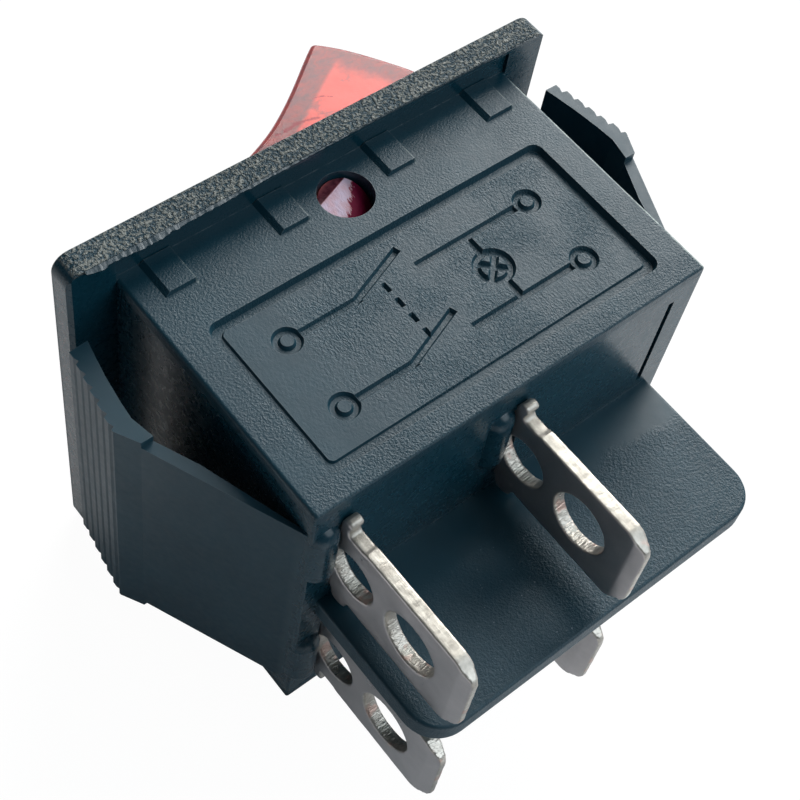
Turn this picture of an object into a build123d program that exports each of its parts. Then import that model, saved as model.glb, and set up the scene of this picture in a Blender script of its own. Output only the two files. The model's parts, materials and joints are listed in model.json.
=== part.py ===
# Illuminated double-pole rocker switch for panel mounting, with four
# quick-connect tabs. All sizes in millimetres.
#
# Frame: X runs along the long side of the bezel, Y runs from the rocker
# (-Y, the front) to the terminal tabs (+Y, the rear), Z is the normal of the
# long side face that carries the shallow panel. The origin is the centre of
# the flange's rear face, the face that seats on the panel (y = 0).
import os
from math import sin, cos, radians

from build123d import *

os.makedirs("parts", exist_ok=True)

# ------------------------------------------------------------- driving sizes
# bezel (flange) and body
BEZ_HX, BEZ_HZ = 15.5, 12.7          # half length and half width of the bezel
BEZ_T = 1.55                         # rim thickness
BEZ_R = 1.0                          # corner radius
LIP_HX, LIP_HZ, LIP_Y = 13.3, 10.95, -2.35   # raised lip round the rocker
BODY_HX, BODY_HZ, BODY_Y = 12.8, 10.68, 16.13
WELL_HX, WELL_HZ, WELL_Y = 11.85, 9.55, 13.9  # inside of the body
SEAT_RELIEF = 0.2                    # shallow relief on the flange's long sides
PANEL_Y0, PANEL_Y1, PANEL_HX, PANEL_DEPTH = 4.72, 14.75, 10.9, 0.4   # groove, outer edge
PLATE_Y0, PLATE_Y1, PLATE_HX, PLATE_DEPTH = 5.32, 14.1, 10.32, 0.26  # plate inside it
PAD_X = ((2.55, 4.48), (9.52, 11.42))
PAD_Y, PAD_H = 2.25, 0.24
# barrier between the upper and lower tabs
BAR_HX, BAR_HZ, BAR_Y, BAR_R = 11.8, 0.75, 25.5, 2.1
# rocker
PIV_X, PIV_Y = 0.0, 1.95
TILT = 20.0                          # rocker tilt each way from the middle
ROCK_HZ = 9.25
BOSS_R, HOLE_R, BOSS_Z = 1.45, 1.56, 10.25
# contacts
POLE_Z = 5.05                        # centre of each pole
X_END, X_MID, BLADE_T = 10.72, -0.37, 0.8
TAB_HW, TAB_TIP = 3.15, 25.85
HOLE1_Y, HOLE1_R = 17.52, 1.55
HOLE2_Y, HOLE2_R = 21.87, 1.8
BR_X, BR_Y = -0.35, 12.95            # bridge fulcrum line
BR_G, BR_B, BR_T = 14.0, 6.5, 0.6    # dihedral of each arm, rock each way, thickness
BR_ARM, BR_SHORT = 8.75, 5.3
# plunger
PL_RC, PL_R, PL_TOP = 8.745, 1.35, 3.6   # tip centre, radius, upper end (from pivot)
TUBE_RO, TUBE_RI, TUBE_END, TUBE_CEIL = 2.2, 1.5, 5.2, -1.65


# ------------------------------------------------------------------- helpers
def block(x0, x1, y0, y1, z0, z1):
    return Pos((x0 + x1) / 2, (y0 + y1) / 2, (z0 + z1) / 2) * Box(
        abs(x1 - x0), abs(y1 - y0), abs(z1 - z0))


def prism_z(pts, z0, z1):
    """Polygon in X-Y, extruded along Z."""
    face = make_face(Polyline(*pts, close=True))
    solid = Pos(0, 0, min(z0, z1)) * extrude(face, amount=abs(z1 - z0), dir=(0, 0, 1))
    return solid


def prism_x(pts, x0, x1):
    """Polygon given as (y, z), extruded along X."""
    face = make_face(Polyline(*[(0, y, z) for y, z in pts], close=True))
    return Pos(min(x0, x1), 0, 0) * extrude(face, amount=abs(x1 - x0), dir=(1, 0, 0))


def cyl_y(x, z, r, y0, y1):
    return Pos(x, (y0 + y1) / 2, z) * Rot(90, 0, 0) * Cylinder(r, abs(y1 - y0))


def cyl_x(y, z, r, x0, x1):
    return Pos((x0 + x1) / 2, y, z) * Rot(0, 90, 0) * Cylinder(r, abs(x1 - x0))


def cyl_z(x, y, r, z0, z1):
    return Pos(x, y, (z0 + z1) / 2) * Cylinder(r, abs(z1 - z0))


def about(shape, x, y, deg):
    """Turn a shape about a Z line through (x, y)."""
    return Pos(x, y, 0) * Rot(0, 0, deg) * Pos(-x, -y, 0) * shape


def flip_z(shape):
    return mirror(shape, about=Plane.XY)


def flip_x(shape):
    return mirror(shape, about=Plane.YZ)


def one(shape):
    """The single solid of a shape."""
    s = shape.solids()
    assert len(s) == 1, len(s)
    return s[0]


def save(shape, name):
    export_step(shape, f"parts/{name}.step")


# ------------------------------------------------------------------- housing
flange = block(-BEZ_HX, BEZ_HX, -BEZ_T, 0, -BEZ_HZ, BEZ_HZ)
flange = fillet(flange.edges().filter_by(Axis.Y), BEZ_R)
flange = fillet(flange.faces().sort_by(Axis.Y)[0].edges(), 0.15)
# the rear edge is broken at both ends, outside the seat
for s in (1, -1):
    flange = flange - prism_z([(s * 15.28, 0), (s * 15.28, 0.3), (s * 15.8, 0.3),
                               (s * 15.8, -0.22), (s * 15.5, -0.22)], -14, 14)
lip = block(-LIP_HX, LIP_HX, LIP_Y, -BEZ_T + 0.3, -LIP_HZ, LIP_HZ)
lip = fillet(lip.edges().filter_by(Axis.Y), 1.0)
lip = chamfer(lip.faces().sort_by(Axis.Y)[0].edges(), 0.45)
body = block(-BODY_HX, BODY_HX, -0.5, BODY_Y, -BODY_HZ, BODY_HZ)
body = fillet(body.edges().filter_by(Axis.Y), 0.22)
body = fillet(body.faces().sort_by(Axis.Y)[-1].edges(), 0.14)
housing = flange + lip + body

# barrier plate, rooted in the rear wall
bar = block(-BAR_HX, BAR_HX, BODY_Y - 0.6, BAR_Y, -BAR_HZ, BAR_HZ)
far = [e for e in bar.edges().filter_by(Axis.Z) if e.center().Y > BAR_Y - 0.1]
bar = fillet(ShapeList(far), BAR_R)
bar = fillet(bar.faces().sort_by(Axis.Z)[-1].edges().filter_by(
    lambda e: e.center().Y > BODY_Y + 0.1), 0.18)
bar = fillet(bar.faces().sort_by(Axis.Z)[0].edges().filter_by(
    lambda e: e.center().Y > BODY_Y + 0.1), 0.18)
housing = housing + bar

# relief on the rear of the long flanges, inside a continuous outer rim
for s in (1, -1):
    housing = housing - block(-12.78, 12.78, -SEAT_RELIEF, 0.01,
                              s * BODY_HZ, s * (BEZ_HZ - 0.42))

# shallow panel on both long sides: a groove with a sloping outer wall round
# a low plate
def rounded(hx, y0, y1, r):
    face = make_face(Polyline((-hx, y0), (hx, y0), (hx, y1), (-hx, y1), close=True))
    return fillet(face.vertices(), r)


groove = rounded(PANEL_HX, PANEL_Y0, PANEL_Y1, 0.6)
plate = rounded(PLATE_HX, PLATE_Y0, PLATE_Y1, 0.3)
for s in (1, -1):
    cut = Pos(0, 0, BODY_HZ) * extrude(groove, amount=PANEL_DEPTH, dir=(0, 0, -1), taper=22)
    cut = cut - Pos(0, 0, BODY_HZ - PLATE_DEPTH) * extrude(
        plate, amount=0.5, dir=(0, 0, -1), taper=-30)
    cut = cut + Pos(0, 0, BODY_HZ) * extrude(groove, amount=0.3, dir=(0, 0, 1))
    housing = housing - (cut if s > 0 else flip_z(cut))


# plain circuit symbol sunk in the plate of one side: two poles, their link
# and the indicator lamp. Its strokes have sloping walls.
MARK_Z = BODY_HZ - PLATE_DEPTH


def sunk(face):
    return Pos(0, 0, MARK_Z + 0.05) * extrude(face, amount=0.27, dir=(0, 0, -1), taper=30)


def stroke(x0, y0, x1, y1, w=0.54):
    dx, dy = x1 - x0, y1 - y0
    n = (dx * dx + dy * dy) ** 0.5
    ux, uy = dx / n * w / 2, dy / n * w / 2
    return sunk(make_face(Polyline((x0 - ux - uy, y0 - uy + ux), (x1 + ux - uy, y1 + uy + ux),
                                   (x1 + ux + uy, y1 + uy - ux), (x0 - ux + uy, y0 - uy - ux),
                                   close=True)))


def ring(x, y, r, w=0.54):
    out = Pos(x, y, MARK_Z - 0.085) * Cone(r - 0.156, r, 0.27)
    core = Pos(x, y, MARK_Z - 0.085) * Cone(r - w + 0.156, r - w, 0.27)
    return out - core


for yl in (7.45, 12.0):
    housing = housing - (ring(7.9, yl, 0.85) + stroke(6.9, yl, 3.6, yl)
                         + stroke(3.6, yl, 0.1, yl - 1.3))
    housing = housing - (ring(-7.9, yl, 0.85) + stroke(-6.9, yl, -0.5, yl))
for y0 in (7.5, 8.6, 9.7, 10.8):
    housing = housing - stroke(1.85, y0, 1.85, min(y0 + 0.35, 11.3), 0.34)
mark = ring(-3.6, 9.72, 1.2) + stroke(-4.2, 9.12, -3.0, 10.32) + stroke(-4.2, 10.32, -3.0, 9.12)
mark = mark + stroke(-3.6, 7.45, -3.6, 8.7) + stroke(-3.6, 10.75, -3.6, 12.0)
housing = housing - mark

# wedge pads beside the flange, four on each long side
for a, b in PAD_X:
    for sx in (1, -1):
        for sz in (1, -1):
            x0, x1 = sorted((sx * a, sx * b))
            pad = prism_x(
                [(-0.15, sz * (BODY_HZ - 0.5)), (PAD_Y, sz * (BODY_HZ - 0.5)),
                 (PAD_Y, sz * (BODY_HZ - 0.02)), (PAD_Y - 0.1, sz * (BODY_HZ + PAD_H)),
                 (-0.15, sz * (BODY_HZ + PAD_H))], x0, x1)
            # the flanks slope, more on the side towards the end tabs
            flank = make_face(Polyline((x0 - 0.3, 0, sz * (BODY_HZ - 0.8)), (x1 + 0.3, 0, sz * (BODY_HZ - 0.8)),
                                       (x1, 0, sz * BODY_HZ), (x1 - 0.3, 0, sz * (BODY_HZ + PAD_H)),
                                       (x1 - 0.5, 0, sz * (BODY_HZ + 0.6)), (x0 + 0.1, 0, sz * (BODY_HZ + 0.6)),
                                       (x0 + 0.04, 0, sz * (BODY_HZ + PAD_H)), (x0, 0, sz * BODY_HZ), close=True))
            flank = Pos(0, -1, 0) * extrude(flank, amount=6, dir=(0, 1, 0))
            housing = housing + (pad & flank)

# low rounded ribs on the rear face, one beside each tab
for xc in (X_END, X_MID):
    for sz in (1, -1):
        rib = cyl_z(xc + 1.18, BODY_Y - 0.42, 0.96, sz * (POLE_Z - 0.6), sz * (POLE_Z + 2.7))
        rib = rib + Pos(xc + 1.18, BODY_Y - 0.42, sz * (POLE_Z - 0.6)) * Sphere(0.96)
        rib = rib + Pos(xc + 1.18, BODY_Y - 0.42, sz * (POLE_Z + 2.7)) * Sphere(0.96)
        housing = housing + rib

# spring latches on both ends: one bent arm with a stepped, toothed head
TEETH = {1: [(1.28, 16.4), (2.07, 16.52), (2.88, 16.65), (3.7, 16.79), (4.5, 16.92),
             (5.33, 17.05), (6.1, 17.15)],
         -1: [(1.22, 16.08), (1.93, 16.3), (2.73, 16.43), (3.54, 16.56), (4.4, 16.7),
              (5.2, 16.9), (6.07, 17.04)]}
for s in (1, -1):
    teeth = TEETH[s]
    outer = []
    for i, (y, x) in enumerate(teeth):
        outer.append((x, y))
        if i < len(teeth) - 1:
            outer.append((x + 0.01, teeth[i + 1][0] - 0.42))
            outer.append((x - 0.1, teeth[i + 1][0] - 0.1))
        else:
            outer.append((x - 0.01, y + 0.12))
    head = [(15.3, 1.2)] + outer + [(16.43, 7.5), (15.73, 7.5), (16.02, 6.1), (15.93, 5.0),
                                    (15.72, 3.4), (15.46, 2.0)]
    arm = [(16.43, 7.5), (12.8, 15.85), (12.4, 15.85), (12.4, 15.3), (12.8, 15.3),
           (14.66, 9.85), (15.73, 7.5)]
    latch = prism_z(head, -8.95, 8.95) + prism_z(arm, -8.5, 8.5)
    housing = housing + (latch if s > 0 else flip_x(latch))

# inside: rocker well, open at the front
well = block(-WELL_HX, WELL_HX, LIP_Y - 1, WELL_Y, -WELL_HZ, WELL_HZ)
well = fillet(well.edges().filter_by(Axis.Y), 0.5)
partition = block(-WELL_HX, WELL_HX, 8.9, WELL_Y, -0.5, 0.5)
housing = housing - (well - partition)

# pivot holes through both long walls
housing = housing - cyl_z(PIV_X, PIV_Y, HOLE_R, -BEZ_HZ - 2, BEZ_HZ + 2)

# terminal slots through the rear wall, and the two blind slots of the
# positions that this type leaves empty
for sz in (1, -1):
    for xc in (X_END, X_MID):
        housing = housing - block(xc - 0.46, xc + 0.46, WELL_Y - 1, BODY_Y + 1,
                                  sz * (POLE_Z - 3.22), sz * (POLE_Z + 3.22))
    housing = housing - block(-11.12, -10.72, BODY_Y - 0.9, BODY_Y + 1,
                              sz * (POLE_Z - 3.62), sz * (POLE_Z + 3.82))
housing = one(housing)
save(housing, "housing")


# ----------------------------------------------------------------- terminals
def blade(xc, zc, y_in, tip=TAB_TIP):
    """Tab blade, normal to X, with its two holes, its waisted root and its
    coined tip. y_in is the inner end inside the housing."""
    h = TAB_HW
    pts = []
    half = [(y_in, h), (16.15, h), (16.16, h + 0.45), (16.25, h + 0.78), (16.45, h + 0.92),
            (16.72, h + 0.95), (16.9, h + 0.8), (16.9, h + 0.58), (16.8, h + 0.34),
            (16.76, h + 0.08), (16.9, h - 0.1), (17.86, h - 0.1), (18.1, h), (24.5, h),
            (24.75, h - 0.06), (tip - 0.16, h - 0.62), (tip, h - 1.0)]
    low = [(y_in, -h), (16.2, -h), (16.26, -h - 0.5), (16.5, -h - 0.72), (16.95, -h - 0.8),
           (17.35, -h - 0.6), (17.5, -h - 0.2), (17.62, -h + 0.06), (18.1, -h), (24.5, -h),
           (24.75, -h + 0.06), (tip - 0.2, -h + 0.55), (tip - 0.04, -h + 0.85), (tip, -h + 1.2)]
    pts = [(y, zc + z) for y, z in half] + [(y, zc + z) for y, z in reversed(low)]
    plan = prism_x(pts, xc - 2, xc + 2)
    t = BLADE_T / 2
    prof = prism_z([(xc - t, y_in), (xc + t, y_in), (xc + t, 25.0), (xc + 0.17, tip),
                    (xc - 0.17, tip), (xc - t, 25.0)], zc - 6, zc + 6)
    b = plan & prof
    b = b - cyl_x(HOLE1_Y, zc, HOLE1_R, xc - 2, xc + 2)
    b = b - cyl_x(HOLE2_Y, zc, HOLE2_R, xc - 2, xc + 2)
    return b


for sz, tag in ((1, "upper"), (-1, "lower")):
    zc = sz * POLE_Z
    # end terminal: blade, bend and contact foot along the inside of the rear wall
    b = blade(X_END, POLE_Z, 13.4)
    foot = prism_z([(X_END + 0.4, 13.4), (X_END + 0.4, 14.2), (X_END - 0.4, 14.2),
                    (X_END - 0.4, WELL_Y - 0.02), (6.5, WELL_Y - 0.02), (6.5, 13.1),
                    (X_END + 0.1, 13.1)], POLE_Z - 2.9, POLE_Z + 2.9)
    t_end = b + foot
    t_end = t_end + block(X_END - 0.4, X_END + 0.4, 13.35, WELL_Y - 0.02,
                          POLE_Z - 3.7, POLE_Z + 3.7)
    t_end = t_end - cyl_y(8.4, POLE_Z, 0.8, 12, 15)
    t_end = one(t_end)
    # middle terminal: blade whose inner edge is the fulcrum, between two ears
    m = blade(X_MID, POLE_Z, BR_Y + 0.03)
    m = m + block(X_MID - 0.4, X_MID + 0.4, BR_Y + 0.03, WELL_Y - 0.02,
                  POLE_Z - 3.7, POLE_Z + 3.7)
    for e in (1, -1):
        m = m + prism_x([(13.3, POLE_Z + e * 2.75), (13.3, POLE_Z + e * 3.7),
                         (11.9, POLE_Z + e * 3.7), (11.6, POLE_Z + e * 3.4),
                         (11.6, POLE_Z + e * 3.0), (11.85, POLE_Z + e * 2.75)],
                        X_MID - 0.4, X_MID + 0.4)
    t_mid = one(m)
    # fixed contact, riveted through the foot
    fc = cyl_y(8.4, POLE_Z, 0.8, 13.0, WELL_Y - 0.03)
    hd = cyl_y(8.4, POLE_Z, 1.7, 12.55, 13.1)
    hd = chamfer(hd.faces().sort_by(Axis.Y)[0].edges(), 0.12)
    fc = one(fc + hd)
    # bridge, drawn level and then tipped to the open position
    g = radians(BR_G)
    n_in = BR_T / cos(g)

    def arm_pt(sx, dist, off):
        # off > 0 is towards the front, measured square to the arm
        return (BR_X + sx * dist * cos(g) - sx * off * sin(g),
                BR_Y - dist * sin(g) - off * cos(g))

    pr = [(BR_X, BR_Y), arm_pt(1, 10.4, 0), arm_pt(1, 10.4, BR_T), (BR_X, BR_Y - n_in),
          arm_pt(-1, BR_SHORT, BR_T)]
    q = arm_pt(-1, BR_SHORT, 0)
    k1 = (q[0] - 0.75, q[1] - 0.95)
    k2 = (k1[0] + 0.5, k1[1] - 0.34)
    pr = pr + [k2, k1, q]
    br = prism_z(pr, POLE_Z - 2.75, POLE_Z + 2.75)
    for e in (1, -1):
        br = br - block(BR_X - 0.85, BR_X + 0.85, 9, 15, POLE_Z + e * 2.3, POLE_Z + e * 4)
    ct = Pos(*arm_pt(1, BR_ARM, 0), POLE_Z) * Rot(0, 0, BR_G * -1)
    br = one(br - ct * (Rot(90, 0, 0) * Cylinder(0.75, 6)))
    mc = ct * (Rot(90, 0, 0) * (Pos(0, 0, -0.25) * Cylinder(1.6, 0.5)))
    mc = mc + ct * (Pos(0, -BR_T / 2, 0) * Rot(90, 0, 0) * Cylinder(0.75, BR_T + 0.2))
    mc = mc + ct * (Pos(0, -BR_T - 0.14, 0) * Rot(90, 0, 0) * Cylinder(1.1, 0.28))
    mc = one(mc)
    br = about(br, BR_X, BR_Y, -BR_B)
    mc = about(mc, BR_X, BR_Y, -BR_B)
    for shp, nm in ((t_end, "terminal_end"), (t_mid, "terminal_middle"),
                    (fc, "fixed_contact"), (br, "contact_bridge"), (mc, "moving_contact")):
        save(shp if sz > 0 else flip_z(shp), f"{nm}_{tag}")

# -------------------------------------------------------------------- rocker
# drawn level about the pivot: u along X, v towards the front (-Y)
def uv(pts):
    return [(PIV_X + u, PIV_Y - v) for u, v in pts]


def mir(pts):
    return pts + [(-u, v) for u, v in reversed(pts)]


end_l = [(-11.2, 1.2), (-11.02, 2.6), (-10.63, 4.3), (-10.0, 6.4), (-9.25, 7.95)]
top_l = [(-9.25, 7.95), (-7.4, 7.45), (-5.5, 6.9), (-4.07, 6.55), (-2.4, 6.25), (0, 6.14)]
outline = Curve() + [
    Spline(*uv(end_l)),
    Spline(*uv(mir(top_l)[:len(top_l)] + mir(top_l)[len(top_l) + 1:])),
    Spline(*uv([(-u, v) for u, v in reversed(end_l)])),
    Polyline(*uv([(11.2, 1.2), (4.0, -2.1), (-4.0, -2.1), (-11.2, 1.2)]))]
shell = Pos(0, 0, -ROCK_HZ) * extrude(make_face(outline), amount=2 * ROCK_HZ, dir=(0, 0, 1))
apex = [e for e in shell.edges().filter_by(Axis.Z) if e.center().Y < PIV_Y - 7]
shell = fillet(ShapeList(apex), 0.35)
rim = [e for e in shell.edges() if abs(abs(e.center().Z) - ROCK_HZ) < 1e-3
       and e.center().Y < PIV_Y - 2.0]
shell = fillet(ShapeList(rim), 0.28)
inner = [(-6.0, -4.0), (-10.2, -1.0), (-10.0, 2.3), (-9.55, 4.1), (-8.7, 6.0), (-8.2, 6.3),
         (-5.5, 5.55), (-2.4, 4.95), (0, 4.85)]
inner = inner + [(-u, v) for u, v in reversed(inner[:-1])]
shell = shell - prism_z(uv(inner), -8.15, 8.15)
for s in (1, -1):
    tube = cyl_y(PIV_X, s * POLE_Z, TUBE_RO, PIV_Y - 5.4, PIV_Y + TUBE_END)
    shell = shell + tube
for s in (1, -1):
    shell = shell - cyl_y(PIV_X, s * POLE_Z, TUBE_RI, PIV_Y + TUBE_CEIL, PIV_Y + TUBE_END + 1)
    # entry for the lamp lead
    shell = shell - block(-0.42, 0.42, PIV_Y + TUBE_CEIL, PIV_Y + TUBE_CEIL + 0.7,
                          s * 2.2, s * 4.6)
    boss = cyl_z(PIV_X, PIV_Y, BOSS_R, s * (ROCK_HZ - 0.5), s * BOSS_Z)
    ramp = prism_x([(PIV_Y - 0.82, s * BOSS_Z), (PIV_Y - 0.82, s * (BOSS_Z + 1)),
                    (PIV_Y + 3, s * (BOSS_Z + 1)), (PIV_Y + 3, s * (ROCK_HZ + 0.02)),
                    (PIV_Y + BOSS_R, s * (ROCK_HZ + 0.1))], -3, 3)
    shell = shell + (boss - ramp)
rocker = one(shell)


def rocked(shape):
    return about(shape, PIV_X, PIV_Y, TILT)


save(rocked(rocker), "rocker")

# plungers and springs
for sz, tag in ((1, "upper"), (-1, "lower")):
    zc = sz * POLE_Z
    pin = cyl_y(PIV_X, zc, PL_R, PIV_Y + PL_TOP, PIV_Y + PL_RC)
    pin = pin + Pos(PIV_X, PIV_Y + PL_RC, zc) * Sphere(PL_R)
    pin = pin + cyl_y(PIV_X, zc, 0.6, PIV_Y + PL_TOP - 0.9, PIV_Y + PL_TOP + 0.1)
    save(rocked(one(pin)), f"plunger_{tag}")
    wire, rs, n = 0.32, 1.02, 6.0
    y0, y1 = PIV_Y - 0.98, PIV_Y + PL_TOP - 0.03
    length = (y1 - y0) - wire
    helix = Helix(pitch=length / n, height=length, radius=rs)
    prof_s = Plane(origin=helix @ 0, z_dir=helix % 0) * Circle(wire / 2)
    coil = sweep(prof_s, path=helix, is_frenet=True)
    coil = Pos(PIV_X, y0 + wire / 2, zc) * Rot(-90, 0, 0) * coil
    save(rocked(one(coil)), f"plunger_spring_{tag}")

# neon lamp with its pinch, resistor and leads, carried inside the rocker
LV = 2.75                              # height of the lamp line above the pivot
WIRE_R = 0.25


def uvz(u, v, z):
    return (PIV_X + u, PIV_Y - v, z)


lamp = cyl_x(PIV_Y - LV, 0, 1.95, -8.3, -2.2)
lamp = fillet(lamp.faces().sort_by(Axis.X)[-1].edges(), 0.8)
lamp = lamp + Pos(-8.3, PIV_Y - LV, 0) * Sphere(1.95)
lamp = lamp - block(-14, -9.2, -10, 10, -5, 5)
lamp = one(lamp + block(-2.6, -1.3, PIV_Y - LV - 0.55, PIV_Y - LV + 0.55, -1.35, 1.35))
save(rocked(lamp), "neon_lamp")
res = cyl_x(PIV_Y - LV, 0, 1.15, 2.0, 7.9)
res = fillet(res.edges(), 0.35)
save(rocked(one(res)), "resistor")


def lead(points, radii):
    path = FilletPolyline(*[uvz(*q) for q in points], radius=radii)
    sec = Plane(origin=path @ 0, z_dir=path % 0) * Circle(WIRE_R)
    return one(sweep(sec, path=path))


save(rocked(lead([(-1.3, LV, 0.75), (0, LV, 0.75), (0, 1.32, 2.2), (0, 1.32, 6.0)],
                 [0.6, 0.6])), "lamp_lead_upper")
save(rocked(lead([(-1.3, LV, -0.75), (-0.5, LV, -0.75), (0.9, LV, 0), (2.0, LV, 0)],
                 [0.5, 0.5])), "lamp_link_lead")
pts_c = [(7.9, LV, 0), (9.1, LV, 0), (9.1, 1.32, -2.3), (0, 1.32, -2.3), (0, 1.32, -6.0)]
save(rocked(lead(pts_c, [0.55, 0.6, 0.55])), "resistor_lead_lower")
sl = cyl_x(PIV_Y - 1.32, -2.3, 0.5, 1.3, 7.9) - cyl_x(PIV_Y - 1.32, -2.3, WIRE_R + 0.02, 1, 9)
save(rocked(one(sl)), "lead_sleeve")
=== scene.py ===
# Looks of the illuminated rocker switch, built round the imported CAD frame.
# Metres, same frame as the CAD: +X to the end tabs, +Y to the rear (tabs),
# -Y to the rocker, +Z out of the long side face with the shallow panel.
import math
import random
import json

import bpy
import bmesh
from mathutils import Vector, Matrix, noise


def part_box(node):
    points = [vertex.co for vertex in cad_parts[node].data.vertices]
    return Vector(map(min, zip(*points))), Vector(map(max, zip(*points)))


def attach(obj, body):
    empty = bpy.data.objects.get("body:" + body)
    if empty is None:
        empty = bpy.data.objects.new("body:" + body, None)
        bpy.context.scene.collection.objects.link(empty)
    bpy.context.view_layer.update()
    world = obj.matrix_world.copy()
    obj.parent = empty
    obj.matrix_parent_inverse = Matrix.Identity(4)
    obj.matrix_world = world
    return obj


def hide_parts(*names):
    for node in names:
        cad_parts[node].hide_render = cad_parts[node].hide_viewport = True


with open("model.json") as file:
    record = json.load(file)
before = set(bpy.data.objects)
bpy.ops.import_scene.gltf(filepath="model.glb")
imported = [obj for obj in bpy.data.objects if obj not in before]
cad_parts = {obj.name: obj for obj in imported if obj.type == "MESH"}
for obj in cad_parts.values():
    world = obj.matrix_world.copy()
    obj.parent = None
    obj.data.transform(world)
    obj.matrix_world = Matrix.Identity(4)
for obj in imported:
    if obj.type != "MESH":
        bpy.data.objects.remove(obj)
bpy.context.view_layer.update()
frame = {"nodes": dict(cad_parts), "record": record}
nodes = frame["nodes"]
MM = 0.001
scene = bpy.context.scene

# ------------------------------------------------------------------- camera
cam_data = bpy.data.cameras.new("camera")
cam = bpy.data.objects.new("camera", cam_data)
scene.collection.objects.link(cam)
scene.camera = cam
right = Vector((-0.76984318, 0.62611737, 0.123768))
down = Vector((0.46934307, 0.68679249, -0.55500735))
fwd = Vector((-0.43250267, -0.36917897, -0.82258637))
rot = Matrix((right, -down, -fwd)).transposed()
cam.matrix_world = Matrix.Translation(Vector((37.691, 40.349, 75.598)) * MM) @ rot.to_4x4()
cam_data.sensor_width = 36.0
cam_data.lens = 1616.194 / 800 * 36.0
cam_data.shift_x = (400 - 405.069) / 800
cam_data.shift_y = (348.910 - 400) / 800
cam_data.clip_start, cam_data.clip_end = 0.005, 5.0


# ------------------------------------------------------- material node tools
class Tree:
    """Short names for building a material's nodes."""

    def __init__(self, name):
        self.m = bpy.data.materials.new(name)
        self.m.use_nodes = True
        self.t = self.m.node_tree
        self.t.nodes.clear()
        self.out = self.t.nodes.new("ShaderNodeOutputMaterial")
        co = self.t.nodes.new("ShaderNodeTexCoord")
        mp = self.t.nodes.new("ShaderNodeMapping")
        mp.inputs["Scale"].default_value = (1000, 1000, 1000)
        self.t.links.new(co.outputs["Object"], mp.inputs["Vector"])
        self.mm = mp.outputs["Vector"]          # position in millimetres

    def node(self, kind, inputs=None, **props):
        n = self.t.nodes.new(kind)
        for k, v in props.items():
            setattr(n, k, v)
        for k, v in (inputs or {}).items():
            if isinstance(v, bpy.types.NodeSocket):
                self.t.links.new(v, n.inputs[k])
            else:
                n.inputs[k].default_value = v
        return n

    def math(self, op, a, b=0.0, c=0.0, clamp=False):
        n = self.node("ShaderNodeMath", {0: a, 1: b, 2: c}, operation=op)
        n.use_clamp = clamp
        return n.outputs[0]

    def xyz(self):
        s = self.node("ShaderNodeSeparateXYZ", {0: self.mm})
        return s.outputs[0], s.outputs[1], s.outputs[2]

    def noise(self, scale, detail=2.0, rough=0.5, dist=0.0, vec=None, lac=2.0):
        n = self.node("ShaderNodeTexNoise", {"Vector": vec or self.mm, "Scale": scale, "Detail": detail,
                                             "Roughness": rough, "Distortion": dist, "Lacunarity": lac})
        return n.outputs["Fac"]

    def stretch(self, sx, sy, sz):
        return self.node("ShaderNodeVectorMath", {0: self.mm, 1: (sx, sy, sz)}, operation="MULTIPLY").outputs[0]

    def ramp(self, fac, stops, interp="LINEAR"):
        n = self.node("ShaderNodeValToRGB", {"Fac": fac})
        r = n.color_ramp
        r.interpolation = interp
        while len(r.elements) > 1:
            r.elements.remove(r.elements[-1])
        for i, (p, c) in enumerate(stops):
            e = r.elements[0] if i == 0 else r.elements.new(p)
            e.position = p
            e.color = c if len(c) == 4 else (*c, 1.0)
        return n.outputs["Color"]

    def remap(self, v, a, b, c=0.0, d=1.0, smooth=False):
        n = self.node("ShaderNodeMapRange", {"Value": v, "From Min": a, "From Max": b, "To Min": c, "To Max": d},
                      interpolation_type="SMOOTHSTEP" if smooth else "LINEAR")
        return n.outputs[0]

    def mix(self, fac, a, b):
        n = self.node("ShaderNodeMix", data_type="RGBA")
        for sock, v in ((n.inputs[0], fac), (n.inputs[6], a), (n.inputs[7], b)):
            if isinstance(v, bpy.types.NodeSocket):
                self.t.links.new(v, sock)
            else:
                sock.default_value = v if not isinstance(v, tuple) else (*v, 1.0)[:4]
        return n.outputs[2]

    def bump(self, height, strength, dist, normal=None):
        ins = {"Height": height, "Strength": strength, "Distance": dist}
        if normal is not None:
            ins["Normal"] = normal
        return self.node("ShaderNodeBump", ins).outputs[0]

    def finish(self, shader):
        self.t.links.new(shader, self.out.inputs["Surface"])
        return self.m


def principled(t, **ins):
    n = t.t.nodes.new("ShaderNodeBsdfPrincipled")
    names = {"color": "Base Color", "metal": "Metallic", "rough": "Roughness", "ior": "IOR", "normal": "Normal",
             "spec": "Specular IOR Level", "trans": "Transmission Weight", "coat": "Coat Weight",
             "coat_rough": "Coat Roughness", "sss": "Subsurface Weight", "sss_radius": "Subsurface Radius",
             "sss_scale": "Subsurface Scale", "sheen": "Sheen Weight", "emit": "Emission Color",
             "emit_strength": "Emission Strength", "aniso": "Anisotropic", "alpha": "Alpha"}
    for k, v in ins.items():
        s = n.inputs[names[k]]
        if isinstance(v, bpy.types.NodeSocket):
            t.t.links.new(v, s)
        else:
            s.default_value = (*v, 1.0) if isinstance(v, tuple) and len(v) == 3 and s.type == "RGBA" else v
    return n


def band(t, v, lo, hi, soft):
    """1 where v lies between lo and hi, with soft edges."""
    a = t.remap(v, lo - soft, lo + soft, smooth=True)
    b = t.remap(v, hi - soft, hi + soft, 1.0, 0.0, smooth=True)
    return t.math("MULTIPLY", a, b)


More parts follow.
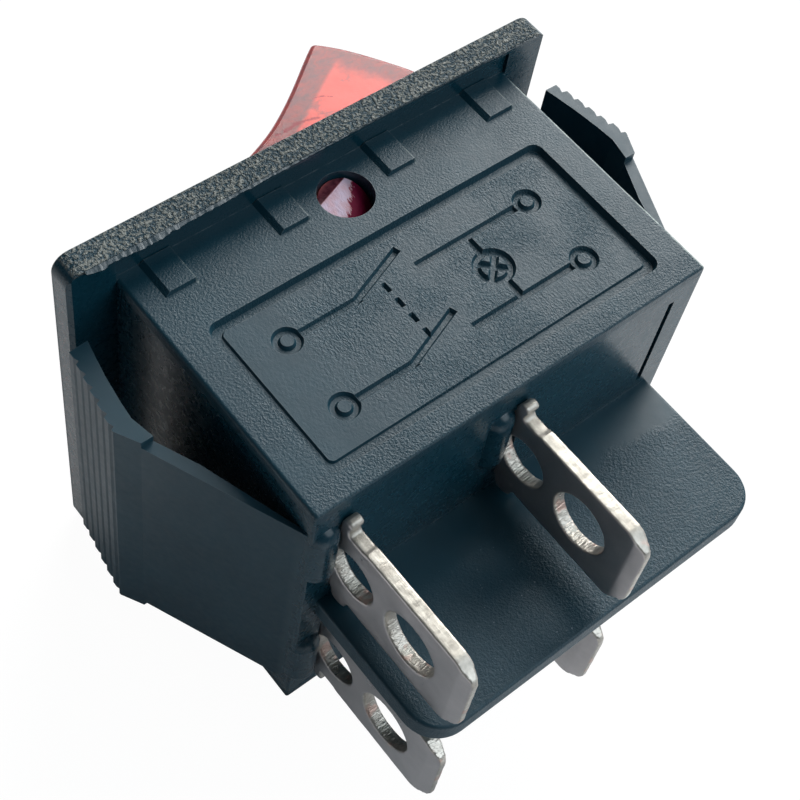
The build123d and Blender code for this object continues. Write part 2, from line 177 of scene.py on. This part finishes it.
# ------------------------------------------------------------ black moulding
def edge_mask(t, radius=0.00012, lo=0.02, hi=0.25):
    """1 on sharp edges, 0 on flats, from the bevelled against the true normal."""
    bev = t.node("ShaderNodeBevel", {"Radius": radius}, samples=6)
    geo = t.node("ShaderNodeNewGeometry")
    dot = t.node("ShaderNodeVectorMath", {0: bev.outputs[0], 1: geo.outputs["Normal"]}, operation="DOT_PRODUCT")
    return t.remap(t.math("SUBTRACT", 1.0, dot.outputs["Value"]), lo, hi, smooth=True)


def black_plastic():
    t = Tree("black_moulded_plastic")
    x, y, z = t.xyz()
    ax, az = t.math("ABSOLUTE", x), t.math("ABSOLUTE", z)
    # where each tool finish lies on the moulding
    rim = t.remap(az, 12.45, 12.6, smooth=True)
    front = t.remap(y, -1.2, -1.45, smooth=True)
    side = t.math("MULTIPLY", band(t, az, 10.0, 11.1, 0.08), t.remap(y, 0.3, 1.2, smooth=True))
    side = t.math("MULTIPLY", side, t.remap(y, 16.2, 16.05, smooth=True))
    plate = t.math("MULTIPLY", band(t, y, 5.3, 14.2, 0.05), t.remap(ax, 10.45, 10.3, smooth=True))
    plate = t.math("MULTIPLY", plate, side)
    past_wall = t.remap(t.noise(0.5, 1.0, 0.5), 0.3, 0.7, 18.4, 19.4)
    barrier = t.math("MULTIPLY", t.remap(t.math("SUBTRACT", y, past_wall), -0.6, 0.6, smooth=True),
                     t.remap(az, 1.0, 0.9, smooth=True))
    # spark-eroded grains
    n1 = t.noise(5.8, 2.0, 0.6, 0.3)
    n2 = t.noise(7.6, 2.0, 0.6, 0.2)
    n3 = t.noise(7.4, 2.0, 0.6, 0.2)
    rip = t.noise(1.0, 2.0, 0.6, 0.4, t.stretch(8.5, 6.0, 6.0))
    patch = t.noise(0.20, 2.0, 0.5)
    patch2 = t.noise(0.34, 2.0, 0.5, 0.0, t.stretch(1.0, 1.0, 1.0))
    # the rim is rougher towards the far end, and the plate smooth at the near one
    rim_amt = t.remap(x, 14.0, 4.0, 0.75, 1.25, smooth=True)
    plate_amt = t.math("MULTIPLY", t.remap(x, 9.0, 3.0, 0.12, 1.0, smooth=True),
                       t.remap(patch2, 0.35, 0.65, 0.35, 1.25))
    h = t.math("MULTIPLY", t.math("MULTIPLY", t.remap(n1, 0.34, 0.66), rim), t.math("MULTIPLY", rim_amt, 2.3))
    rest_side = t.math("MULTIPLY", side, t.math("SUBTRACT", 1.0, plate))
    rear_strip = t.remap(y, 14.3, 15.2, 0.55, 1.0, smooth=True)
    h = t.math("ADD", h, t.math("MULTIPLY", t.remap(n2, 0.3, 0.7),
                                t.math("MULTIPLY", t.math("MULTIPLY", rest_side, rear_strip),
                                       t.remap(patch, 0.3, 0.7, 0.25, 0.6))))
    h = t.math("ADD", h, t.math("MULTIPLY", t.remap(rip, 0.3, 0.7), t.math("MULTIPLY", t.math("MULTIPLY", plate, plate_amt), 0.62)))
    bar_amt = t.remap(x, 6.0, -8.0, 0.22, 0.48)
    h = t.math("ADD", h, t.math("MULTIPLY", t.remap(n3, 0.3, 0.7), t.math("MULTIPLY", barrier, bar_amt)))
    h = t.math("ADD", h, t.math("MULTIPLY", t.remap(n3, 0.3, 0.7), t.math("MULTIPLY", front, 0.3)))
    # a trace of unevenness everywhere
    h = t.math("ADD", h, t.math("MULTIPLY", t.noise(1.1, 3.0, 0.6), 0.12))
    h = t.math("ADD", h, t.math("MULTIPLY", t.noise(0.3, 2.0, 0.5), 0.35))
    nrm = t.bump(h, 1.0, 0.00006)
    cloud = t.noise(0.35, 3.0, 0.6)
    col = t.ramp(cloud, [(0.3, (0.0035, 0.034, 0.054)), (0.7, (0.0060, 0.043, 0.066))])
    # rubbed edges and moulding flash get a thin pale line, broken up: partly wear, partly a painted highlight, fainter
    # towards the rear and at the +X end
    worn = edge_mask(t)
    worn = t.math("MULTIPLY", worn, t.remap(t.noise(1.6, 4.0, 0.7), 0.42, 0.62, 0.12, 1.0))
    worn = t.math("MULTIPLY", worn, t.remap(y, 15.9, 16.4, 1.0, 0.45))
    worn = t.math("MULTIPLY", worn, t.remap(x, 12.6, 11.0, 0.35, 1.0))
    col = t.mix(worn, col, (0.12, 0.155, 0.175))
    # a pale line down the corner at the -X end of the side face: partly rubbed wear, partly a painted highlight
    corner_wear_and_highlight = t.math("MULTIPLY", band(t, x, -12.82, -12.62, 0.03), t.math("MULTIPLY", t.remap(az, 10.40, 10.5), t.remap(y, 0.2, 1.0)))
    corner_wear_and_highlight = t.math("MULTIPLY", corner_wear_and_highlight, t.remap(t.noise(0.9, 4.0, 0.75), 0.38, 0.60, 0.1, 1.0))
    col = t.mix(t.math("MULTIPLY", corner_wear_and_highlight, 0.85), col, (0.34, 0.40, 0.38))
    # a thin pale line along one edge of each pad near the bezel: painted highlight
    pad_edge_highlight = t.math("MULTIPLY", t.remap(az, 10.62, 10.7), t.remap(y, 2.5, 2.3))
    e1 = t.math("MAXIMUM", t.math("MAXIMUM", band(t, x, 9.50, 9.62, 0.03), band(t, x, 2.53, 2.65, 0.03)),
                t.math("MAXIMUM", band(t, x, -4.50, -4.38, 0.03), band(t, x, -11.44, -11.32, 0.03)))
    pad_edge_highlight = t.math("MULTIPLY", t.math("MULTIPLY", pad_edge_highlight, e1), t.remap(t.noise(1.1, 3.0, 0.7), 0.35, 0.6, 0.25, 1.0))
    col = t.mix(t.math("MULTIPLY", pad_edge_highlight, t.remap(y, 0.6, 1.2, 0.0, 0.8)), col, (0.17, 0.215, 0.22))
    # light specks in the grain of the barrier: painted glints
    dots = t.remap(t.noise(6.5, 0.0, 0.5, 0.0), 0.80, 0.84)
    grain_glints = t.math("MULTIPLY", dots, barrier)
    col = t.mix(t.math("MULTIPLY", grain_glints, 0.5), col, (0.16, 0.21, 0.24))
    # the rim's grain is rubbed paler than the rest
    col = t.mix(t.math("MULTIPLY", rim, t.remap(n1, 0.45, 0.57, 0.0, 0.95)), col, (0.20, 0.215, 0.20))
    rough_zone = t.math("MAXIMUM", t.math("MAXIMUM", rim, side), t.math("MAXIMUM", barrier, front))
    rough = t.remap(rough_zone, 0, 1, 0.27, 0.43)
    rough = t.math("ADD", rough, t.remap(t.noise(2.2, 3.0, 0.6), 0.3, 0.7, -0.03, 0.05))
    # the latches are duller than the body
    latch = t.math("MULTIPLY", t.remap(ax, 12.9, 13.1), t.remap(y, 0.4, 0.8))
    rough = t.math("ADD", rough, t.math("MULTIPLY", latch, 0.16))
    # the smooth strip of the barrier next to the rear wall
    sleek = t.math("MULTIPLY", t.math("MULTIPLY", t.remap(az, 1.0, 0.9), t.remap(y, 16.2, 16.5)), t.math("SUBTRACT", 1.0, barrier))
    rough = t.math("ADD", rough, t.math("MULTIPLY", sleek, 0.10))
    b = principled(t, color=col, rough=rough, ior=1.5, normal=nrm, spec=0.45)
    return t.finish(b.outputs[0])


def plated():
    t = Tree("tin_plated_brass")
    x, y, z = t.xyz()
    az = t.math("ABSOLUTE", z)
    geo = t.node("ShaderNodeNewGeometry")
    n = t.node("ShaderNodeSeparateXYZ", {0: geo.outputs["Normal"]})
    # faces rolled flat and dull, cut edges bright and grained
    flat = t.remap(t.math("ABSOLUTE", n.outputs[0]), 0.75, 0.95, smooth=True)
    cut = t.math("SUBTRACT", 1.0, flat)
    cloud = t.noise(0.5, 3.0, 0.6)
    blot = t.noise(1.7, 3.0, 0.6)
    col_face = t.ramp(cloud, [(0.3, (0.56, 0.51, 0.50)), (0.7, (0.68, 0.62, 0.61))])
    col_cut = t.ramp(blot, [(0.35, (0.42, 0.395, 0.35)), (0.55, (0.55, 0.525, 0.47)), (0.75, (0.66, 0.64, 0.58))])
    # cut faces that point other ways than up get a slightly lighter copy of the cut colour: painted shading by facing
    # direction
    away = t.remap(n.outputs[2], 0.92, 0.985, 1.0, 0.0)
    col_cut = t.mix(away, col_cut, t.ramp(blot, [(0.35, (0.44, 0.41, 0.37)), (0.6, (0.58, 0.54, 0.49)), (0.75, (0.68, 0.64, 0.59))]))
    col = t.mix(cut, col_face, col_cut)
    # bare brass shows pink where the plating has rubbed through at the corners
    rub = t.math("MULTIPLY", edge_mask(t, 0.00018, 0.03, 0.2), t.remap(t.noise(1.3, 3.0, 0.6), 0.45, 0.6))
    col = t.mix(t.math("MULTIPLY", rub, 0.5), col, (0.50, 0.36, 0.31))
    spots = t.remap(t.noise(0.9, 2.0, 0.5, 0.0), 0.57, 0.63)
    col = t.mix(t.math("MULTIPLY", spots, t.math("MULTIPLY", t.math("MULTIPLY", cut, t.remap(az, 8.0, 7.8)), 0.75)), col, (0.60, 0.40, 0.34))
    # streaks from the punch run through the thickness, in the holes and on the edges
    ang1 = t.math("ARCTAN2", t.math("SUBTRACT", az, 5.05), t.math("SUBTRACT", y, 17.52))
    r1y, r1z = t.math("SUBTRACT", y, 17.52), t.math("SUBTRACT", az, 5.05)
    d1 = t.math("SQRT", t.math("ADD", t.math("MULTIPLY", r1y, r1y), t.math("MULTIPLY", r1z, r1z)))
    ang2 = t.math("ARCTAN2", t.math("SUBTRACT", az, 5.05), t.math("SUBTRACT", y, 21.87))
    near1 = t.remap(d1, 1.9, 1.7)
    ang = t.mix(near1, t.node("ShaderNodeCombineXYZ", {0: ang2, 1: 0.0, 2: 0.0}).outputs[0],
                t.node("ShaderNodeCombineXYZ", {0: ang1, 1: 0.0, 2: 0.0}).outputs[0])
    angx = t.node("ShaderNodeSeparateXYZ", {0: ang}).outputs[0]
    streak_v = t.node("ShaderNodeCombineXYZ", {0: t.math("MULTIPLY", angx, 9.0), 1: t.math("MULTIPLY", x, 0.9), 2: 3.0})
    streak = t.noise(1.0, 3.0, 0.7, 0.2, streak_v.outputs[0])
    along = t.noise(1.0, 3.0, 0.65, 0.2, t.stretch(0.9, 3.4, 3.4))
    hole = t.math("MULTIPLY", cut, t.remap(az, 7.6, 7.3))
    grain = t.node("ShaderNodeMix", {0: hole, 2: along, 3: streak}).outputs[0]
    lines = t.noise(1.0, 3.0, 0.6, 0.0, t.stretch(14, 0.8, 14))
    hgt = t.math("ADD", t.math("MULTIPLY", t.math("MULTIPLY", grain, cut), t.remap(hole, 0.0, 1.0, 0.45, 2.0)), t.math("MULTIPLY", lines, 0.14))
    hgt = t.math("ADD", hgt, t.math("MULTIPLY", t.noise(0.45, 2.0, 0.5), 0.5))
    nrm = t.bump(hgt, 1.0, 0.00006)
    rough = t.math("ADD", t.remap(cloud, 0.3, 0.7, 0.27, 0.36), t.math("MULTIPLY", t.math("MULTIPLY", cut, t.remap(az, 7.6, 8.0)), 0.14))
    b = principled(t, color=col, metal=0.86, rough=rough, normal=nrm)
    return t.finish(b.outputs[0])


def red_plastic():
    t = Tree("translucent_red_plastic")
    x, y, z = t.xyz()
    az = t.math("ABSOLUTE", z)
    # position in the level rocker: u along its length, w square to it
    dx, dy = x, t.math("SUBTRACT", y, 1.95)
    c, s = math.cos(math.radians(20)), math.sin(math.radians(20))
    u = t.math("ADD", t.math("MULTIPLY", dx, c), t.math("MULTIPLY", dy, s))
    w = t.math("ADD", t.math("MULTIPLY", dx, -s), t.math("MULTIPLY", dy, c))
    cloud = t.noise(0.6, 3.0, 0.6)
    col = t.ramp(cloud, [(0.3, (0.80, 0.10, 0.08)), (0.7, (0.88, 0.14, 0.11))])
    # scuffed, frosted lead-in of each pivot boss; its pale lavender is partly frosting, partly a painted reflection of
    # the bright sky
    boss = t.remap(az, 9.28, 9.34)
    r = t.math("SQRT", t.math("ADD", t.math("MULTIPLY", u, u), t.math("MULTIPLY", w, w)))
    boss = t.math("MULTIPLY", boss, t.remap(r, 1.55, 1.5))
    slope = t.math("MULTIPLY", boss, t.remap(w, -0.86, -0.80))
    slope = t.math("MULTIPLY", slope, t.remap(t.math("ADD", t.math("ADD", w, t.math("MULTIPLY", u, -0.5)), t.math("MULTIPLY", t.noise(1.0, 3.0, 0.7, 0.0, t.stretch(6.0, 2.0, 2.0)), 1.1)), 0.90, 0.76))
    # the rest of the boss end is painted dark red: painted shade inside the pivot hole
    rest = t.math("MULTIPLY", boss, t.math("MULTIPLY", t.remap(w, -0.86, -0.80), t.math("SUBTRACT", 1.0, slope)))
    col = t.mix(rest, col, (0.17, 0.006, 0.035))
    col = t.mix(t.math("MULTIPLY", slope, 0.92), col, t.ramp(t.noise(1.6, 2.0, 0.6), [(0.35, (0.60, 0.42, 0.50)), (0.65, (0.62, 0.54, 0.68))]))
    # the land is painted darker still: painted shade inside the pivot hole
    land = t.math("MULTIPLY", boss, t.remap(w, -0.80, -0.86))
    col = t.mix(land, col, t.ramp(t.noise(4.0, 2.0, 0.6), [(0.4, (0.060, 0.008, 0.018)), (0.65, (0.13, 0.030, 0.045))]))
    # round the boss the wall is thick; its dark colour is painted shade inside the pivot hole
    pivot_hole_shade = t.math("MULTIPLY", t.remap(az, 9.0, 9.2), t.math("MULTIPLY", t.remap(r, 2.6, 2.0), t.remap(az, 9.34, 9.28)))
    col = t.mix(pivot_hole_shade, col, (0.12, 0.010, 0.025))
    # the hollow zone of the flank shows warmer and brighter than the solid border: it is more translucent and carries a
    # painted glow, a weak emission standing in for light through the hollow, not from the lamp
    flank = t.math("MULTIPLY", t.remap(az, 9.1, 9.2), t.remap(w, -1.2, -1.6))
    end = t.math("ADD", t.math("ABSOLUTE", u), t.math("MULTIPLY", w, -0.30))
    inner = t.math("MULTIPLY", t.remap(t.math("ADD", end, t.math("MULTIPLY", t.noise(0.7, 3.0, 0.6), 1.6)), 11.7, 10.5, smooth=True), t.remap(t.math("ADD", w, t.math("MULTIPLY", t.math("ABSOLUTE", u), 0.20)), -4.50, -4.15, smooth=True))
    inner = t.math("MULTIPLY", inner, flank)
    blots = t.noise(0.55, 4.0, 0.65, 0.8)
    inner = t.math("MULTIPLY", inner, t.remap(t.math("ADD", blots, t.math("MULTIPLY", u, -0.035)), 0.58, 0.72, 0.25, 1.0, smooth=True))
    scuff = t.noise(1.0, 3.0, 0.65, 0.5, t.stretch(1.2, 2.2, 1.0))
    border = t.math("MULTIPLY", flank, t.math("SUBTRACT", 1.0, inner))
    col = t.mix(t.math("MULTIPLY", border, t.remap(scuff, 0.35, 0.65, 0.55, 0.95)), col, (0.30, 0.13, 0.14))
    pits = t.remap(t.noise(2.6, 4.0, 0.75), 0.56, 0.66)
    col = t.mix(t.math("MULTIPLY", t.math("MULTIPLY", border, pits), 0.35), col, (0.20, 0.12, 0.12))
    # long dark-red scratches low on the flank
    gash = 0.0
    ragged = t.math("MULTIPLY", t.math("SUBTRACT", t.noise(3.0, 3.0, 0.7), 0.5), 0.35)
    for (ua, wa), (ub, wb), wide in (((-5.71, -5.61), (-6.19, -5.30), 0.07), ((-6.19, -5.30), (-6.51, -4.81), 0.05),
                                     ((-2.81, -5.53), (-3.85, -5.23), 0.16), ((-3.85, -5.23), (-4.71, -4.64), 0.12),
                                     ((-2.2, -5.75), (-3.1, -5.35), 0.08)):
        lu, lw = ub - ua, wb - wa
        ll = lu * lu + lw * lw
        pu, pw = t.math("SUBTRACT", u, ua), t.math("SUBTRACT", w, wa)
        k = t.math("MULTIPLY", t.math("ADD", t.math("MULTIPLY", pu, lu), t.math("MULTIPLY", pw, lw)), 1.0 / ll, clamp=True)
        eu = t.math("SUBTRACT", pu, t.math("MULTIPLY", k, lu))
        ew = t.math("SUBTRACT", pw, t.math("MULTIPLY", k, lw))
        away = t.math("ADD", t.math("SQRT", t.math("ADD", t.math("MULTIPLY", eu, eu), t.math("MULTIPLY", ew, ew))), ragged)
        gash = t.math("MAXIMUM", gash, t.remap(away, wide, wide * 0.3))
    gash = t.math("MULTIPLY", gash, t.math("MULTIPLY", flank, t.remap(z, 0.0, 1.0)))
    col = t.mix(t.math("MULTIPLY", gash, 0.85), col, (0.30, 0.015, 0.03))
    # the rounded front edge
    edge = t.math("MULTIPLY", t.remap(az, 9.19, 9.12), t.remap(az, 8.86, 8.95))
    col = t.mix(edge, col, (0.62, 0.24, 0.27))
    trans = t.math("MULTIPLY", t.math("SUBTRACT", 1.0, t.math("MAXIMUM", t.math("MAXIMUM", slope, land), t.math("MAXIMUM", pivot_hole_shade, rest))), t.remap(inner, 0.0, 1.0, 0.30, 0.40))
    trans = t.math("MULTIPLY", trans, t.remap(t.math("MAXIMUM", edge, gash), 0.0, 1.0, 1.0, 0.0))
    ridges = t.noise(1.0, 2.0, 0.6, 0.4, t.stretch(7, 3, 3))
    hgt = t.math("ADD", t.math("MULTIPLY", t.noise(2.4, 2.0, 0.6), 0.2), t.math("MULTIPLY", ridges, t.math("MULTIPLY", slope, 1.0)))
    nrm = t.bump(hgt, 1.0, 0.00004)
    rough = t.math("ADD", 0.22, t.math("MULTIPLY", slope, 0.2))
    # painted glow: weak red emission over the hollow zone of the flank, less on the scratches
    b = principled(t, color=col, rough=rough, ior=1.5, trans=trans, normal=nrm, sss=0.0, spec=0.28,
                   emit=(1.0, 0.10, 0.07), emit_strength=t.math("MULTIPLY", inner, t.math("SUBTRACT", 0.29, t.math("MULTIPLY", gash, 0.22))))
    return t.finish(b.outputs[0])


def simple(name, col_a, col_b, metal, rough, scale=1.0, bump=0.2, dist=0.00002, **more):
    t = Tree(name)
    cloud = t.noise(scale, 3.0, 0.6)
    col = t.ramp(cloud, [(0.3, col_a), (0.7, col_b)])
    nrm = t.bump(t.noise(scale * 6, 2.0, 0.6), bump, dist)
    b = principled(t, color=col, metal=metal, rough=rough, normal=nrm, **more)
    return t.finish(b.outputs[0])


def dress(obj, mat):
    obj.data.materials.clear()
    obj.data.materials.append(mat)


M_BLACK = black_plastic()
M_RED = red_plastic()
M_PLATED = plated()
M_SILVER = simple("contact_silver_alloy", (0.80, 0.80, 0.78), (0.88, 0.88, 0.86), 1.0, 0.3)
M_BRASS = simple("bare_brass_strip", (0.62, 0.42, 0.18), (0.76, 0.55, 0.27), 1.0, 0.32)
M_STEEL = simple("turned_steel", (0.50, 0.50, 0.51), (0.62, 0.62, 0.63), 1.0, 0.28)
M_SPRING = simple("spring_wire", (0.40, 0.40, 0.41), (0.52, 0.52, 0.54), 1.0, 0.3)
M_LAMP = simple("lamp_glass", (0.95, 0.80, 0.66), (0.98, 0.86, 0.74), 0.0, 0.05, trans=0.8, ior=1.5)
M_RES = simple("resistor_lacquer", (0.70, 0.55, 0.36), (0.78, 0.64, 0.44), 0.0, 0.4)
M_WIRE = simple("tinned_wire", (0.66, 0.63, 0.58), (0.76, 0.73, 0.68), 1.0, 0.3)
M_SLEEVE = simple("woven_sleeve", (0.78, 0.77, 0.72), (0.88, 0.87, 0.83), 0.0, 0.7)

by_slot = {"black_plastic": M_BLACK, "red_plastic": M_RED, "plated_brass": M_PLATED, "contact_silver": M_SILVER,
           "bridge_brass": M_BRASS, "plunger_steel": M_STEEL, "spring_steel": M_SPRING, "lamp_glass": M_LAMP,
           "resistor_body": M_RES, "lead_wire": M_WIRE, "sleeve": M_SLEEVE}
for sp in frame["record"]["subparts"]:
    if sp["node"] in nodes:
        dress(nodes[sp["node"]], by_slot[sp["material_slot"]])


# ---------------------------------------------------- tabs with worn edges
def soft_copy(name, voxel, rounds, wobble, seed):
    """A CAD piece with its sharp edges worn round and slightly uneven."""
    me = nodes[name].data.copy()
    me.transform(Matrix.Scale(1000.0, 4))
    tmp = bpy.data.objects.new("tmp_" + name, me)
    scene.collection.objects.link(tmp)
    m = tmp.modifiers.new("r", "REMESH")
    m.mode = "VOXEL"
    m.voxel_size = voxel
    m.adaptivity = 0.0
    m = tmp.modifiers.new("s", "SMOOTH")
    m.factor, m.iterations = 0.5, rounds
    bpy.context.view_layer.update()
    dg = bpy.context.evaluated_depsgraph_get()
    out = bpy.data.meshes.new_from_object(tmp.evaluated_get(dg))
    bpy.data.objects.remove(tmp)
    out.transform(Matrix.Scale(0.001, 4))
    lo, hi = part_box(name)
    off = Vector((seed * 3.1, seed * 1.7, seed * 2.3))
    # normals are read before any point moves
    start = [(v.co.copy(), v.normal.copy()) for v in out.vertices]
    moved = []
    for co, n in start:
        p = co / MM
        a = noise.noise(p * 1.5 + off) * 0.6 + noise.noise(p * 4.0 + off) * 0.4
        # the flats stay flat; edges and corners wander
        k = 1.0 - max(abs(n.x), abs(n.y), abs(n.z))
        side = 1.0 if abs(n.x) < 0.9 else 0.12
        q = co + n * (a * wobble * MM * max(side * 0.6, min(1.0, k * 4)))
        moved.extend(min(max(q[i], lo[i]), hi[i]) for i in range(3))
    out.vertices.foreach_set("co", moved)
    out.polygons.foreach_set("use_smooth", [True] * len(out.polygons))
    out.update()
    out.name = name + "_worn"
    o = bpy.data.objects.new(name + "_worn", out)
    scene.collection.objects.link(o)
    dress(o, M_PLATED)
    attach(o, "frame")
    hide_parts(name)
    return o


VOX = 0.07
for i, nm in enumerate(("terminal_end_upper", "terminal_middle_upper", "terminal_end_lower", "terminal_middle_lower")):
    soft_copy(nm, VOX, 6, 0.03, i + 1)


# ------------------------------------- moulding flash on the bezel's rear edge
def flash_strip():
    heights = [(-15.4, 0.04), (-14.9, 0.25), (-14.2, 0.06), (-13, 0.03), (-9.2, 0.02), (-5, 0.02), (-1.5, 0.05), (1.8, 0.10),
               (5.0, 0.14), (8.0, 0.22), (10.0, 0.30), (11.6, 0.38), (12.8, 0.30), (13.9, 0.34), (14.6, 0.18), (15.2, 0.04)]

    def level(x):
        for (a, ha), (b, hb) in zip(heights, heights[1:]):
            if a <= x <= b:
                return ha + (hb - ha) * (x - a) / (b - a)
        return 0.02
    rnd = random.Random(7)
    bm = bmesh.new()
    rows = []
    drift = 0.5
    x = -14.6
    while x <= 14.6:
        drift = 0.75 * drift + 0.25 * rnd.random()
        hgt = level(x) * (0.45 + 0.8 * drift + 0.3 * rnd.random()) + 0.03 * rnd.random()
        z_top = 12.695 - 0.02 * rnd.random()
        rows.append([bm.verts.new(Vector(p) * MM) for p in
                     ((x, -0.12, z_top), (x + 0.04, hgt, z_top - 0.02 - 0.06 * rnd.random()), (x, hgt * 0.5, 12.5), (x, -0.12, 12.42))])
        x += 0.13 + 0.1 * rnd.random()
    for a, b in zip(rows, rows[1:]):
        for i in range(4):
            j = (i + 1) % 4
            bm.faces.new((a[i], a[j], b[j], b[i]))
    bm.faces.new(rows[0][::-1])
    bm.faces.new(rows[-1])
    bmesh.ops.recalc_face_normals(bm, faces=bm.faces)
    me = bpy.data.meshes.new("bezel_flash")
    bm.to_mesh(me)
    bm.free()
    o = bpy.data.objects.new("bezel_flash", me)
    scene.collection.objects.link(o)
    dress(o, simple("flash_edge", (0.012, 0.038, 0.055), (0.06, 0.085, 0.10), 0.0, 0.45, 3.0, 0.4, 0.00003))
    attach(o, "frame")


flash_strip()

# ------------------------------------------------------------ floor and light
FLOOR_Z = -0.01275
bm = bmesh.new()
bmesh.ops.create_grid(bm, x_segments=1, y_segments=1, size=1.5)
me = bpy.data.meshes.new("floor")
bm.to_mesh(me)
bm.free()
floor = bpy.data.objects.new("floor", me)
floor.location = (0, 0, FLOOR_Z)
scene.collection.objects.link(floor)
t = Tree("pale_floor")
lp = t.node("ShaderNodeLightPath")
geo = t.node("ShaderNodeNewGeometry")
dif = t.node("ShaderNodeBsdfDiffuse", {"Color": (0.80, 0.81, 0.82, 1)})
white = t.node("ShaderNodeEmission", {"Color": (1.0, 1.0, 1.0, 1), "Strength": 0.97})
faint = t.node("ShaderNodeBsdfDiffuse", {"Color": (0.06, 0.06, 0.06, 1)})
part = t.node("ShaderNodeAddShader", {0: white.outputs[0], 1: faint.outputs[0]})
mixed = t.node("ShaderNodeMixShader", {0: lp.outputs["Is Camera Ray"], 1: dif.outputs[0], 2: part.outputs[0]})
clear = t.node("ShaderNodeBsdfTransparent")
both = t.node("ShaderNodeMixShader", {0: geo.outputs["Backfacing"], 1: mixed.outputs[0], 2: clear.outputs[0]})
dress(floor, t.finish(both.outputs[0]))


def area(name, direction, dist, size, radiance, color=(1, 1, 1), target=(0, 0.008, 0)):
    d = Vector(direction).normalized()
    l = bpy.data.lights.new(name, "AREA")
    l.shape = "DISK"
    l.size = size
    l.energy = radiance * math.pi * math.pi * (size / 2) ** 2
    l.color = color
    o = bpy.data.objects.new(name, l)
    o.location = Vector(target) + d * dist
    o.rotation_euler = d.to_track_quat("Z", "Y").to_euler()
    scene.collection.objects.link(o)
    o.visible_camera = False
    return o


area("key", (-0.72, -0.42, 0.56), 0.5, 0.42, 8.0, (1.0, 0.99, 0.97))
area("fill", (-0.40, 0.62, 0.67), 0.6, 0.60, 2.2, (0.84, 0.94, 1.0))

world = bpy.data.worlds.new("world")
scene.world = world
world.use_nodes = True
bg = world.node_tree.nodes["Background"]
bg.inputs[0].default_value = (0.80, 0.90, 1.0, 1)
bg.inputs[1].default_value = 0.09

scene.view_settings.view_transform = "Standard"
scene.view_settings.look = "None"
